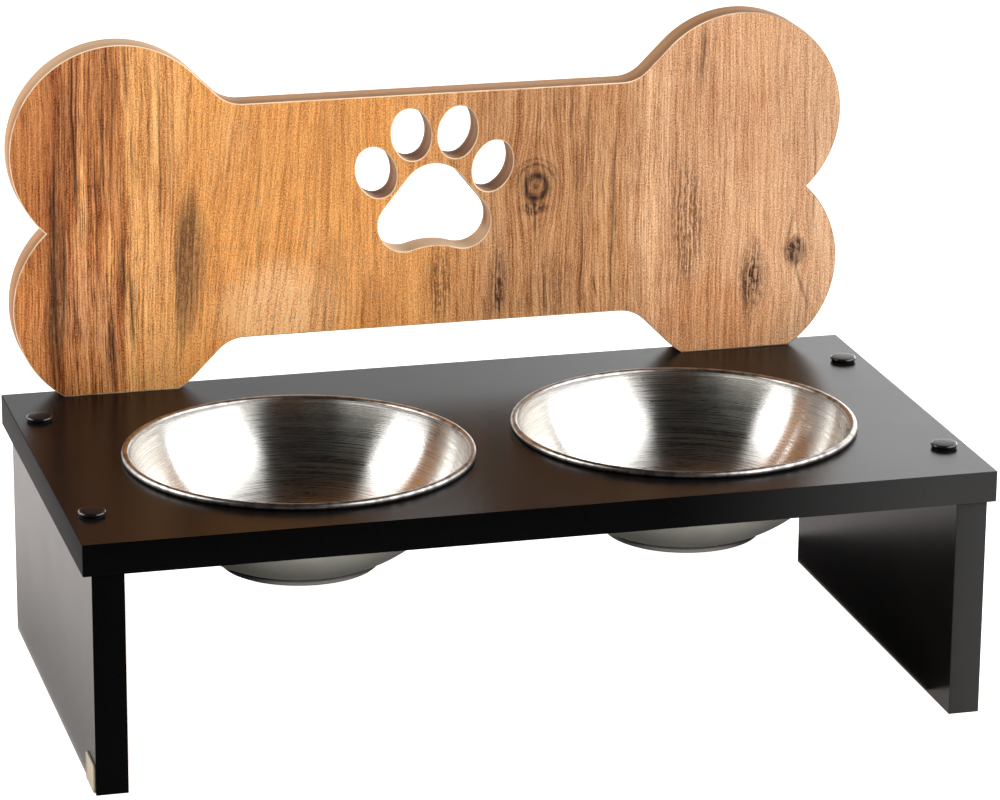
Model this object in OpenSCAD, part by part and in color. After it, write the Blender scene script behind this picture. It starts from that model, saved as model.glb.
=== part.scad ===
// Raised feeder stand for a pet: a black board on two panel legs, a bone-shaped backboard with a
// paw cut through it, and two steel bowls that lift out of round holes in the board.
// Millimetres. +Z is up and the front faces -Y. The origin is on the floor, under the middle of
// the stand's box.

/* [Top board] */
// Length of the board, left to right
board_w = 520; // [500:1:680]
// Depth of the board, front to back
board_d = 275; // [250:1:360]
// Thickness of the board
board_t = 18; // [14:0.5:24]

/* [Legs] */
// Height of a leg panel, from the floor to the underside of the board
leg_h = 127; // [80:1:260]
// Thickness of a leg panel
leg_t = 18; // [14:0.5:24]
// From the end of the board to the outer face of the leg
leg_end_inset = 5; // [0:0.5:8]
// From the front edge of the board to the front edge of the leg
leg_front_inset = 1.5; // [0:0.5:15]
// From the back edge of the board to the back edge of the leg
leg_back_inset = 6.5; // [0:0.5:15]

/* [Bone backboard] */
// Width of the bone over its lobes
bone_w = 507; // [470:1:530]
// Height of the whole bone, before its foot is cut flat
bone_h = 220; // [212:1:240]
// Height cut off the lower lobes, so that they stand on the board
bone_cut = 10; // [4:0.5:20]
// Thickness of the bone
bone_t = 18; // [14:0.5:24]
// How far the back of the bone stands behind the board
bone_overhang = 4.5; // [0:0.5:6]
// Radius of each of the four lobes
lobe_r = 63.5; // [58:0.5:70]
// Height of the straight shaft between the lobes
shaft_h = 142; // [130:1:160]
// Slope of the flanks that run from the shaft out to the lobes
flank_angle = 45; // [40:1:50]
// Radius of the inner corners between the shaft and the flanks
flank_fillet_r = 22; // [5:1:30]

/* [Paw cut-out] */
// Width of a toe
toe_w = 24.2; // [22:0.1:26]
// Length of a toe
toe_h = 32; // [29:0.5:34]
// Radius of a toe's two ends
toe_end_r = 10; // [8:0.5:10.5]
// From the middle of the bone out to an inner toe
inner_toe_x = 14.2; // [13.5:0.1:16]
// From the middle of the bone up to an inner toe
inner_toe_z = 46.5; // [46:0.1:48]
// Outward lean of an inner toe
inner_toe_lean = 10; // [0:1:15]
// From the middle of the bone out to an outer toe
outer_toe_x = 35.7; // [35:0.1:40]
// From the middle of the bone up to an outer toe
outer_toe_z = 24.7; // [22:0.1:26]
// Outward lean of an outer toe
outer_toe_lean = 20; // [0:1:30]
// Radius of the top of the pad
pad_top_r = 20.5; // [18:0.5:21]
// From the middle of the bone up to the centre of the pad's top
pad_top_z = 7.6; // [5:0.1:8]
// Radius of the pad's two lower corners
pad_corner_r = 16.4; // [15:0.1:18]
// From the middle of the pad out to the centre of a lower corner
pad_corner_x = 18.2; // [17:0.1:20]
// From the middle of the bone down to the centre of a lower corner
pad_corner_drop = 8.4; // [7:0.1:12]
// Rise of the dip in the pad's lower edge
pad_dip_h = 2.8; // [1:0.1:4]

/* [Bowls] */
// Distance between the middles of the two bowls
bowl_spacing = 228; // [210:1:240]
// From the middle of the board forward to the middle of the bowls
bowl_forward = 13.5; // [0:0.5:20]
// Diameter of a bowl over its rolled rim
rim_d = 201; // [160:0.5:208]
// Thickness of the rolled rim
rim_bead_d = 4.4; // [3.5:0.1:6]
// Depth of the flat under the rolled rim, where it lies on the board
rim_flat_depth = 0.3; // [0.1:0.1:0.6]
// Height of a bowl, from its base to the top of its rim
bowl_h = 67; // [58:0.5:72]
// Diameter of a bowl's base
bowl_base_d = 92; // [80:1:100]
// Height of the step pressed round the base
bowl_step_h = 2.5; // [1.5:0.1:4]
// Radius of the curve of a bowl's wall, seen from the side
bowl_wall_curve_r = 80; // [70:1:150]
// Thickness of a bowl's steel
bowl_t = 1; // [0.8:0.1:1.5]
// Clearance round a bowl in its hole
bowl_gap = 0.5; // [0.3:0.1:0.8]

/* [Leg screws and caps] */
// From the front or back edge of a leg to its screw
leg_screw_edge = 47; // [25:1:70]
// Length of a leg screw with its head
leg_screw_len = 50; // [40:1:60]
// Diameter of a leg screw
leg_screw_d = 7; // [5:0.5:8]
// Diameter of a leg screw's head
leg_screw_head_d = 10; // [9:0.5:12]
// Height of a leg screw's head, which lies flush in the board
leg_screw_head_h = 4; // [3.5:0.5:6]
// Width across the flats of the hexagon socket in the head
socket_flats = 4; // [3:0.5:5]
// Depth of the hexagon socket
socket_depth = 3; // [2:0.5:3.5]
// Diameter of a screw cap
cap_d = 15.4; // [12:0.2:18]
// Height of a screw cap over the board
cap_h = 3; // [2:0.1:5]
// Radius of a cap's rounded edge
cap_edge_r = 1.4; // [0.5:0.1:1.9]
// Space between the end of a cap's pin and the bottom of the socket that it is pushed into
cap_pin_gap = 0.5; // [0.2:0.1:1]

/* [Bone screws] */
// Distance between the two screws in one foot of the bone
bone_screw_spacing = 36; // [20:1:44]
// Length of a bone screw with its head
bone_screw_len = 50; // [40:1:60]
// Diameter of a bone screw
bone_screw_d = 4; // [3:0.5:5]
// Diameter of a bone screw's head
bone_screw_head_d = 8; // [7:0.5:8.5]
// Height of a bone screw's head
bone_screw_head_h = 3; // [2:0.5:4]
// Length of the point of every screw
screw_point_len = 4; // [2:0.5:6]

/* [Badge plate] */
// Width of the plate
badge_w = 23; // [15:0.5:40]
// Height of the plate
badge_h = 16; // [10:0.5:30]
// Thickness of the plate
badge_t = 1.2; // [0.6:0.1:2]
// From the front edge of the leg to the plate
badge_front_gap = 2; // [1:0.5:20]
// From the floor to the plate
badge_floor_gap = 1; // [0.5:0.5:20]

/* [Fits] */
// Clearance all round a screw, a screw head or a cap's pin
fit_gap = 0.1; // [0.05:0.05:0.2]
// Space left past the point of a screw in its blind hole
blind_gap = 0.5; // [0.2:0.1:2]

/* [Hidden] */
$fn = 96;
// How far a cutting shape reaches past the face that it opens
cut = 1;

SIDES = [["left", -1], ["right", 1]];
CORNERS = [["front_left", -1, -1], ["front_right", 1, -1], ["back_left", -1, 1], ["back_right", 1, 1]];
BONE_SCREWS = [["left_outer", -1, 1], ["left_inner", -1, -1], ["right_inner", 1, -1], ["right_outer", 1, 1]];

// The board is set forward by half of the bone's overhang, so that the whole is centred.
board_y = -bone_overhang / 2;
board_front = board_y - board_d / 2;
board_back = board_y + board_d / 2;
board_top = leg_h + board_t;

leg_x = board_w / 2 - leg_end_inset - leg_t / 2;
leg_front = board_front + leg_front_inset;
leg_back = board_back - leg_back_inset;

bone_back = board_back + bone_overhang;
bone_foot_drop = bone_h / 2 - bone_cut;
bone_z = board_top + bone_foot_drop;
lobe_x = bone_w / 2 - lobe_r;
lobe_z = bone_h / 2 - lobe_r;

bowl_y = board_y - bowl_forward;
rim_r = rim_d / 2;
bead_r = rim_bead_d / 2;
bead_x = rim_r - bead_r;
bead_z = bowl_h - bead_r;
seat_z = bowl_h - rim_bead_d + rim_flat_depth;
bowl_z = board_top - seat_z;
base_r = bowl_base_d / 2;
// Outer radius of the wall where it turns into the rim
wall_top_r = bead_x - bead_r + bowl_t;
hole_r = wall_top_r + bowl_gap;

// The bone screws stand in the middle of the strip where the bone rests on the board.
bone_screw_y = board_back - (bone_t - bone_overhang) / 2;

// Corner to corner width of a hexagon with the given width across its flats
function hex_d(flats) = flats / cos(30);

// Centre of the arc of radius r that turns to the left on its way from a to b, as a bowl's wall does
function arc_centre(a, b, r) =
    let (d = b - a, chord = norm(d))
    (a + b) / 2 + sqrt(r * r - chord * chord / 4) * [-d[1], d[0]] / chord;

// Unit vector at an angle
function unit(angle) = [cos(angle), sin(angle)];

// Mirror a flat shape left to right as well
module both_sides() {
    children();
    mirror([1, 0]) children();
}

// Mirror a flat shape into all four quarters
module four_quarters() {
    both_sides() {
        children();
        mirror([0, 1]) children();
    }
}

// One toe upright: two end arcs joined by two flatter side arcs
module toe_outline() {
    end_c = toe_h / 2 - toe_end_r;
    waist = toe_w / 2 - toe_end_r;
    side_c = (end_c * end_c - waist * waist) / (2 * waist);
    side_r = toe_w / 2 + side_c;
    meet_z = end_c * side_r / (side_r - toe_end_r);
    for (s = [-1, 1]) translate([0, s * end_c]) circle(r = toe_end_r);
    intersection() {
        translate([side_c, 0]) circle(r = side_r);
        translate([-side_c, 0]) circle(r = side_r);
        square([toe_w + 2 * cut, 2 * meet_z], center = true);
    }
}

// The pad: a round top, two round lower corners, straight sides and a shallow dip below
module pad_outline() {
    top_c = [0, pad_top_z];
    corner_c = [pad_corner_x, -pad_corner_drop];
    run = top_c - corner_c;
    side_angle = atan2(run[1], run[0]) - acos((pad_corner_r - pad_top_r) / norm(run));
    dip_k = pad_corner_r - pad_dip_h;
    dip_r = (pad_corner_x * pad_corner_x + dip_k * dip_k - pad_corner_r * pad_corner_r) / (2 * pad_dip_h);
    dip_c = [0, -pad_corner_drop - dip_k - dip_r];
    dip_run = (dip_c - corner_c) / norm(dip_c - corner_c);
    translate(top_c) circle(r = pad_top_r);
    both_sides() translate(corner_c) circle(r = pad_corner_r);
    difference() {
        both_sides() polygon([
            [0, dip_c[1] + dip_r - pad_dip_h],
            corner_c + pad_corner_r * dip_run,
            corner_c,
            corner_c + pad_corner_r * unit(side_angle),
            top_c + pad_top_r * unit(side_angle),
            top_c
        ]);
        translate(dip_c) circle(r = dip_r);
    }
}

module paw_outline() {
    both_sides() {
        translate([inner_toe_x, inner_toe_z]) rotate(-inner_toe_lean) toe_outline();
        translate([outer_toe_x, outer_toe_z]) rotate(-outer_toe_lean) toe_outline();
    }
    pad_outline();
}

// The bone about its own middle, with its lower lobes cut flat
module bone_outline() {
    lobe_c = [lobe_x, lobe_z];
    lobe_meet = lobe_c + lobe_r * unit(90 + flank_angle);
    rise = (lobe_meet[1] - shaft_h / 2) / sin(flank_angle);
    corner = lobe_meet - rise * unit(flank_angle);
    fillet_reach = flank_fillet_r * tan(flank_angle / 2);
    shaft_meet = corner - [fillet_reach, 0];
    flank_meet = corner + fillet_reach * unit(flank_angle);
    difference() {
        four_quarters() {
            translate(lobe_c) circle(r = lobe_r);
            polygon([[0, 0], [lobe_x, 0], lobe_c, lobe_meet, flank_meet, shaft_meet, [0, shaft_h / 2]]);
        }
        four_quarters() translate(shaft_meet + [0, flank_fillet_r]) circle(r = flank_fillet_r);
        translate([-bone_w / 2, -bone_foot_drop - bone_cut - cut]) square([bone_w, bone_cut + cut]);
    }
}

// Half of a bowl in section, from its axis out to its rim, with its base at zero
module bowl_section() {
    low = [base_r, bowl_step_h];
    high = [wall_top_r, bead_z];
    centre = arc_centre(low, high, bowl_wall_curve_r);
    reach = 2 * bowl_wall_curve_r;
    square([base_r, bowl_t]);
    translate([base_r - bowl_t, 0]) square([bowl_t, bowl_step_h + bowl_t]);
    intersection() {
        translate(centre) difference() {
            circle(r = bowl_wall_curve_r);
            circle(r = bowl_wall_curve_r - bowl_t);
        }
        polygon([
            centre,
            centre + reach * (low - centre) / bowl_wall_curve_r,
            centre + reach * [1, -1],
            centre + reach * (high - centre) / bowl_wall_curve_r
        ]);
    }
    difference() {
        translate([bead_x, bead_z]) circle(r = bead_r);
        translate([bead_x - bead_r, seat_z - rim_bead_d]) square(rim_bead_d);
    }
}

// A wood screw that points up: a flat head below and a point above, with its head's face at zero
module screw(d, length, head_d, head_h) {
    shank_len = length - screw_point_len;
    cylinder(d = head_d, h = head_h);
    cylinder(d = d, h = shank_len);
    translate([0, 0, shank_len]) cylinder(d1 = d, d2 = d / 4, h = screw_point_len);
}

// The room for that screw, with its head's face open below and its point in a blind hole
module screw_room(d, length, head_d, head_h) {
    translate([0, 0, -cut]) cylinder(d = head_d + 2 * fit_gap, h = head_h + cut);
    cylinder(d = d + 2 * fit_gap, h = length + blind_gap);
}

// Where a leg's screw stands, with the board's top at zero and the screw pointing down
module at_leg_screw(corner) {
    y = corner[2] < 0 ? leg_front + leg_screw_edge : leg_back - leg_screw_edge;
    translate([corner[1] * leg_x, y, board_top]) rotate([180, 0, 0]) children();
}

// Where a screw of the bone stands, with the board's underside at zero and the screw pointing up
module at_bone_screw(place) {
    x = place[1] * (lobe_x + place[2] * bone_screw_spacing / 2);
    translate([x, bone_screw_y, leg_h]) children();
}

module leg_screw_rooms() {
    for (c = CORNERS) at_leg_screw(c)
        screw_room(leg_screw_d, leg_screw_len, leg_screw_head_d, leg_screw_head_h);
}

module bone_screw_rooms() {
    for (b = BONE_SCREWS) at_bone_screw(b)
        screw_room(bone_screw_d, bone_screw_len, bone_screw_head_d, bone_screw_head_h);
}

module top_board() {
    color("#1d1b1b") difference() {
        translate([-board_w / 2, board_front, leg_h]) cube([board_w, board_d, board_t]);
        for (s = SIDES) translate([s[1] * bowl_spacing / 2, bowl_y, leg_h - cut])
            cylinder(r = hole_r, h = board_t + 2 * cut);
        leg_screw_rooms();
        bone_screw_rooms();
    }
}

module leg(side) {
    color("#242322") difference() {
        translate([side * leg_x - leg_t / 2, leg_front, 0]) cube([leg_t, leg_back - leg_front, leg_h]);
        leg_screw_rooms();
    }
}

module bone_backboard() {
    color("#c68a53") difference() {
        translate([0, bone_back, bone_z]) rotate([90, 0, 0]) linear_extrude(bone_t) difference() {
            bone_outline();
            paw_outline();
        }
        bone_screw_rooms();
    }
}

module bowl(side) {
    color("#c9cacb") translate([side * bowl_spacing / 2, bowl_y, bowl_z]) rotate_extrude() bowl_section();
}

module screw_cap(corner) {
    pin_d = hex_d(socket_flats - 2 * fit_gap);
    color("#101010") at_leg_screw(corner) {
        cylinder(d = pin_d, h = socket_depth - cap_pin_gap, $fn = 6);
        rotate([180, 0, 0]) rotate_extrude() {
            square([cap_d / 2, cap_h - cap_edge_r]);
            square([cap_d / 2 - cap_edge_r, cap_h]);
            translate([cap_d / 2 - cap_edge_r, cap_h - cap_edge_r]) circle(r = cap_edge_r);
        }
    }
}

module leg_screw(corner) {
    color("#b9bbbd") at_leg_screw(corner) difference() {
        screw(leg_screw_d, leg_screw_len, leg_screw_head_d, leg_screw_head_h);
        translate([0, 0, -cut]) cylinder(d = hex_d(socket_flats), h = socket_depth + cut, $fn = 6);
    }
}

module bone_screw(place) {
    color("#c9b26a") at_bone_screw(place)
        screw(bone_screw_d, bone_screw_len, bone_screw_head_d, bone_screw_head_h);
}

module badge_plate() {
    color("#b9a892") translate([-leg_x - leg_t / 2 - badge_t, leg_front + badge_front_gap, badge_floor_gap])
        cube([badge_t, badge_w, badge_h]);
}

top_board();
bone_backboard();
badge_plate();
for (s = SIDES) leg(s[1]);
for (s = SIDES) bowl(s[1]);
for (c = CORNERS) screw_cap(c);
for (c = CORNERS) leg_screw(c);
for (b = BONE_SCREWS) bone_screw(b);
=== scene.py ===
"""Finished pieces of a raised feeder stand with a bone-shaped backboard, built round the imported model."""

import math
from typing import NamedTuple

import bmesh
import bpy
from bpy.props import FloatProperty, FloatVectorProperty, IntProperty, PointerProperty
from mathutils import Matrix, Vector


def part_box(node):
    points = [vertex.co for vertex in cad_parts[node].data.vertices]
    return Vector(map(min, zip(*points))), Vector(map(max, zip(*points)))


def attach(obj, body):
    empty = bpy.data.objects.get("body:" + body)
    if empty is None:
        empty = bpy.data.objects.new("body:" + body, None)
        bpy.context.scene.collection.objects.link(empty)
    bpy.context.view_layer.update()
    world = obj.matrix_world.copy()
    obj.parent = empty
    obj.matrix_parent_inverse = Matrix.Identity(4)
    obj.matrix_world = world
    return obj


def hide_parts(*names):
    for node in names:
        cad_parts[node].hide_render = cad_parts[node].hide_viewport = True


bl_info = {
    "name": "Feeder Stand",
    "version": (1, 0, 0),
    "blender": (4, 5, 0),
    "location": "3D View > Sidebar > Feeder Stand",
    "description": "Builds the finished pieces of a raised feeder stand with a bone-shaped backboard",
    "category": "Add Mesh",
}

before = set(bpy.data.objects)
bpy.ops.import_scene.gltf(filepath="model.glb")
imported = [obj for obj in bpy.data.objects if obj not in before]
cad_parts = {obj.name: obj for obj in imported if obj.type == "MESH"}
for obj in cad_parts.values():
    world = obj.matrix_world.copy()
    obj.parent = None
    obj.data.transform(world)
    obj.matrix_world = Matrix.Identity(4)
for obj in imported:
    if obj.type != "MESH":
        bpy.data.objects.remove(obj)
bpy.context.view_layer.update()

MM = 0.001
STAND = "stand"
SIDES = ("left", "right")
CORNERS = ("front_left", "front_right", "back_left", "back_right")
BONE_SCREWS = ("left_outer", "left_inner", "right_inner", "right_outer")


def srgb(code):
    """Linear red, green and blue of a colour written as six hexadecimal digits."""
    parts = [int(code[i:i + 2], 16) / 255 for i in (0, 2, 4)]
    return tuple(p / 12.92 if p <= 0.04045 else ((p + 0.055) / 1.055) ** 2.4 for p in parts)


def length(name, description, millimetres):
    """A property for a length, with its default in millimetres."""
    return FloatProperty(
        name=name,
        description=description,
        default=millimetres * MM,
        subtype="DISTANCE",
        unit="LENGTH",
        precision=5,
    )


def colour(name, description, code):
    """A property for a colour."""
    return FloatVectorProperty(
        name=name, description=description, default=srgb(code), subtype="COLOR", size=3, min=0.0, max=1.0
    )


def angle(name, description, degrees):
    """A property for an angle, with its default in degrees."""
    return FloatProperty(name=name, description=description, default=math.radians(degrees), subtype="ANGLE")


def number(name, description, default, **options):
    """A property for a plain number."""
    return FloatProperty(name=name, description=description, default=default, **options)


class PanelSizes(bpy.types.PropertyGroup):
    """Sizes of the board, the legs and their edges."""

    corner_r: length("Corner", "Radius of a panel's corners, seen square on", 0.8)
    edge_r: length("Edge", "Radius of a panel's worn edges", 0.45)
    hole_lap: length("Rim lap", "How far a bowl's rim reaches past the edge of its hole", 2.9)
    fit_gap: length("Screw clearance", "Clearance round a screw in its hole", 0.1)


class BoneSizes(bpy.types.PropertyGroup):
    """Sizes of the bone-shaped backboard and of the paw cut through it."""

    height: length("Whole height", "Height of the bone before its foot is cut flat", 220.0)
    lobe_r: length("Lobe", "Radius of each of the four lobes", 63.5)
    shaft_h: length("Shaft", "Height of the straight shaft between the lobes", 142.0)
    flank: angle("Flank", "Slope of the flanks that run from the shaft out to the lobes", 45.0)
    fillet_r: length("Fillet", "Radius of the inner corners between shaft and flanks", 22.0)
    chamfer: length("Chamfer", "Width of the pale chamfer along the front and back edges", 0.6)
    chamfer_depth: length("Chamfer depth", "Depth of the pale chamfer", 0.3)
    toe_w: length("Toe width", "Width of a toe", 24.2)
    toe_h: length("Toe length", "Length of a toe", 32.0)
    toe_end_r: length("Toe end", "Radius of a toe's two ends", 10.0)
    inner_toe_x: length("Inner toe out", "From the middle of the bone out to an inner toe", 14.2)
    inner_toe_z: length("Inner toe up", "From the middle of the bone up to an inner toe", 46.5)
    inner_toe_lean: angle("Inner toe lean", "Outward lean of an inner toe", 10.0)
    outer_toe_x: length("Outer toe out", "From the middle of the bone out to an outer toe", 35.7)
    outer_toe_z: length("Outer toe up", "From the middle of the bone up to an outer toe", 24.7)
    outer_toe_lean: angle("Outer toe lean", "Outward lean of an outer toe", 20.0)
    pad_top_r: length("Pad top", "Radius of the top of the pad", 20.5)
    pad_top_z: length("Pad top up", "From the middle of the bone up to the centre of the pad's top", 7.6)
    pad_corner_r: length("Pad corner", "Radius of the pad's two lower corners", 16.4)
    pad_corner_x: length("Pad corner out", "From the middle of the pad out to a lower corner", 18.2)
    pad_corner_drop: length("Pad corner down", "From the middle of the bone down to a lower corner", 8.4)
    pad_dip: length("Pad dip", "Rise of the dip in the pad's lower edge", 2.8)


class BowlSizes(bpy.types.PropertyGroup):
    """Sizes of a pressed steel bowl."""

    bead_d: length("Rolled rim", "Thickness of the rolled rim", 4.4)
    seat: length("Rim flat", "Depth of the flat under the rolled rim", 0.3)
    base_r: length("Base", "Radius of the base", 46.0)
    step_h: length("Base step", "Height of the step pressed round the base", 3.6)
    groove: length("Groove", "Depth of the groove between the step and the wall", 0.7)
    wall_r: length("Wall curve", "Radius of the curve of the wall, seen from the side", 80.0)
    steel_t: length("Steel", "Thickness of the steel", 1.0)
    segments: IntProperty(
        name="Segments", description="Segments round a bowl", default=224, min=48, max=512
    )


class CapSizes(bpy.types.PropertyGroup):
    """Sizes of a push-in screw cap."""

    edge_r: length("Edge", "Radius of the rounded edge", 1.1)
    dome: length("Dome", "Rise of the top from its edge to its middle", 0.25)
    undercut: length("Undercut", "How far the foot stands in under the edge", 0.8)
    pin_r: length("Pin", "Radius of the pin that is pushed into the screw", 2.1)


class ScrewSizes(bpy.types.PropertyGroup):
    """Sizes of the screws."""

    leg_head_h: length("Leg screw head", "Height of a leg screw's head", 4.0)
    leg_shank_r: length("Leg screw shank", "Radius of a leg screw over its thread", 3.5)
    leg_socket: length("Leg screw socket", "Width across the flats of the hexagon socket", 4.0)
    leg_socket_depth: length("Socket depth", "Depth of the hexagon socket", 3.0)
    bone_head_h: length("Bone screw head", "Height of a bone screw's head", 3.0)
    bone_shank_r: length("Bone screw shank", "Radius of a bone screw over its thread", 2.0)
    cross_w: length("Cross slot", "Width of one slot of the cross recess", 1.0)
    cross_l: length("Cross length", "Length of one slot of the cross recess", 4.4)
    cross_depth: length("Cross depth", "Depth of the cross recess", 1.8)
    point_l: length("Point", "Length of the point of every screw", 4.0)
    pitch: length("Pitch", "Pitch of the thread", 2.2)
    thread_h: length("Thread height", "Height of the thread over the core", 0.6)


class BadgeSizes(bpy.types.PropertyGroup):
    """Sizes of the bare plate on the left leg."""

    corner_r: length("Corner", "Radius of the plate's corners", 0.8)
    border: length("Border", "Width of the raised border", 1.3)
    sink: length("Sink", "How far the plate's field lies below its border", 0.35)
    edge_r: length("Edge", "Radius of the plate's outer edge", 0.25)


class Finishes(bpy.types.PropertyGroup):
    """Colours of the finishes."""

    ink: colour("Ink", "Darkest veins and knots of the decor", "2e1a10")
    umber: colour("Umber", "Dark patches of the decor", "52321d")
    smoke: colour("Smoke", "Greyish dark patches of the decor", "533a2a")
    russet: colour("Russet", "Reddish brown streaks of the decor", "96582f")
    chestnut: colour("Chestnut", "Brown ground of the decor at the left", "b0703f")
    honey: colour("Honey", "Light ground of the decor at the left", "d09458")
    amber: colour("Amber", "Orange ground of the decor in the middle", "d29150")
    tan: colour("Tan", "Brownish ground of the decor right of the middle", "aa7a51")
    oat: colour("Oat", "Pale ground of the decor at the right", "b88b66")
    dusk: colour("Dusk", "Greyish ground of the decor at the right end", "b18a69")
    haze: colour("Haze", "Pale haze in the decor's lower middle", "efc292")
    fibre: colour("Fibre", "Bare edge of the bone", "aa7e54")
    # Brown tone of the bare edge, used for its strip beside the front face, its texture and painted shade
    # on it
    fibre_brown_and_shade: colour("Scorch", "Browner strip of the bare edge beside the front face", "70441c")
    cream: colour("Cream", "Chamfer along the bone's edges", "f0d4b0")
    board: colour("Board face", "Satin faces of the black board", "0f0d0c")
    board_edge: colour("Board edge", "Painted edges of the black board", "060607")
    # Greyer tone for painted light on the board's edges towards the right
    lit_edge: colour("Rubbed edge", "Edges of the black board where they are rubbed", "303030")
    steel: colour("Steel", "Stainless steel of the bowls inside", "d2d0cc")
    # Darker than the bowls' steel: painted shade that dims the rolled rims' reflections
    rim_shaded: colour("Rim steel", "Stainless steel of the bowls' rolled rims", "a4a09c")
    # Duller steel, its tone also darkened as painted shade on the bowls' outside
    satin_shaded: colour("Satin steel", "Stainless steel of the bowls outside", "a1a29b")
    cap: colour("Cap", "Plastic of the screw caps", "0f0f10")
    zinc: colour("Zinc", "Plating of the screws", "c6c7c4")
    badge: colour("Badge", "Bare plate on the left leg", "a89c86")
    floor: colour("Floor", "Floor under the stand", "c4c4c3")


class StageSizes(bpy.types.PropertyGroup):
    """Camera and lights."""

    camera_at: FloatVectorProperty(
        name="Camera",
        description="Where the camera stands",
        default=(-0.6254, -2.31945, 0.9253),
        subtype="XYZ",
    )
    yaw: angle("Yaw", "How far the camera looks to the right of straight back", 15.273)
    pitch: angle("Pitch", "How far the camera looks down", 17.590)
    roll: angle("Roll", "How far the camera leans to its left", 0.440)
    lens: number("Lens", "Focal length on a 36 mm sensor, in millimetres", 157.87)
    right_light: number("Right light", "Power of the right softbox", 55.0, unit="POWER")
    left_light: number("Left light", "Power of the left softbox", 30.0, unit="POWER")
    backdrop: number("Backdrop", "Brightness of the room behind the stand", 1.6)
    flare: number("Flare", "Brightness added to the backdrop at its right", 2.4)
    room: number("Room", "Brightness of the rest of the room", 0.004)


class Value:
    """One output of a shader node, for use in sums: each operator adds the Math node that works it out."""

    def __init__(self, nodes, socket):
        self.nodes = nodes
        self.socket = socket

    def other(self, output):
        """Another output of the same node."""
        return Value(self.nodes, self.socket.node.outputs[output])

    def math(self, operation, *terms):
        """The Math node for an operation on these terms."""
        return self.nodes.add("ShaderNodeMath", {"operation": operation}, dict(enumerate(terms)))

    def __add__(self, other):
        return self.math("ADD", self, other)

    def __radd__(self, other):
        return self.math("ADD", other, self)

    def __sub__(self, other):
        return self.math("SUBTRACT", self, other)

    def __rsub__(self, other):
        return self.math("SUBTRACT", other, self)

    def __mul__(self, other):
        return self.math("MULTIPLY", self, other)

    def __rmul__(self, other):
        return self.math("MULTIPLY", other, self)

    def __truediv__(self, other):
        return self.math("DIVIDE", self, other)

    def __rtruediv__(self, other):
        return self.math("DIVIDE", other, self)

    def __pow__(self, other):
        return self.math("POWER", self, other)

    def __rpow__(self, other):
        return self.math("POWER", other, self)

    def __neg__(self):
        return self.math("MULTIPLY", self, -1.0)

    def __abs__(self):
        return self.math("ABSOLUTE", self)


class Nodes:
    """The node tree of a material or of the world."""

    def __init__(self, owner):
        owner.use_nodes = True
        self.tree = owner.node_tree
        self.tree.nodes.clear()

    def add(self, kind, settings=None, inputs=None, output=0):
        """One output of a new node, with its settings made first and then its sockets set or linked."""
        node = self.tree.nodes.new(kind)
        for key, value in (settings or {}).items():
            if key == "stops":
                self.set_stops(node.color_ramp, value)
            else:
                setattr(node, key, value)
        for key, value in (inputs or {}).items():
            if isinstance(value, Value):
                self.tree.links.new(value.socket, node.inputs[key])
            else:
                node.inputs[key].default_value = value
        return Value(self, node.outputs[output]) if node.outputs else None

    @staticmethod
    def set_stops(ramp, stops):
        """Give a colour ramp its stops: each a place from 0 to 1 and a colour."""
        while len(ramp.elements) < len(stops):
            ramp.elements.new(1.0)
        for element, (place, tone) in zip(ramp.elements, stops):
            element.position = place
            element.color = (*tone, 1.0)

    def millimetres(self):
        """The piece's own x, y and z in millimetres."""
        place = self.add("ShaderNodeTexCoord", output="Object")
        scaled = self.add("ShaderNodeVectorMath", {"operation": "SCALE"}, {0: place, "Scale": 1 / MM})
        x = self.add("ShaderNodeSeparateXYZ", inputs={0: scaled})
        return x, x.other(1), x.other(2)

    def vector(self, x, y, z):
        """A vector made of three values."""
        return self.add("ShaderNodeCombineXYZ", inputs={0: x, 1: y, 2: z})

    def noise(self, vector, scale=1.0, detail=2.0, roughness=0.5):
        """Smooth noise from 0 to 1, about 0.5."""
        return self.add(
            "ShaderNodeTexNoise",
            {"noise_dimensions": "3D"},
            {"Vector": vector, "Scale": scale, "Detail": detail, "Roughness": roughness},
        )

    def rise(self, value, low, high):
        """A smooth step from 0 at low to 1 at high, or falling where low is over high."""
        return self.add(
            "ShaderNodeMapRange",
            {"interpolation_type": "SMOOTHSTEP"},
            {"Value": value, "From Min": low, "From Max": high},
        )

    def bell(self, squared):
        """A bell curve of a squared distance: 1 in the middle, falling to 0."""
        return squared.math("EXPONENT", -squared)

    def root(self, value):
        """Square root."""
        return value.math("SQRT", value)

    def most(self, value, least):
        """The value, or this least value where it would be lower."""
        return value.math("MAXIMUM", value, least)

    def mix(self, first, second, factor, blend="MIX"):
        """A colour between two colours."""
        first, second = (c if isinstance(c, Value) else (*c, 1.0) for c in (first, second))
        return self.add(
            "ShaderNodeMix",
            {"data_type": "RGBA", "blend_type": blend, "clamp_factor": True},
            {0: factor, 6: first, 7: second},
            output=2,
        )

    def bump(self, height, distance):
        """A normal from a height that runs from 0 to 1 over a distance in metres."""
        return self.add("ShaderNodeBump", inputs={"Height": height, "Distance": distance, "Strength": 1.0})

    def surface(self, **sockets):
        """The surface shader, wired to the output. Sockets are named with underscores for spaces."""
        named = {key.replace("_", " "): value for key, value in sockets.items()}
        shader = self.add("ShaderNodeBsdfPrincipled", inputs=named)
        self.add("ShaderNodeOutputMaterial", inputs={"Surface": shader})
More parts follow.
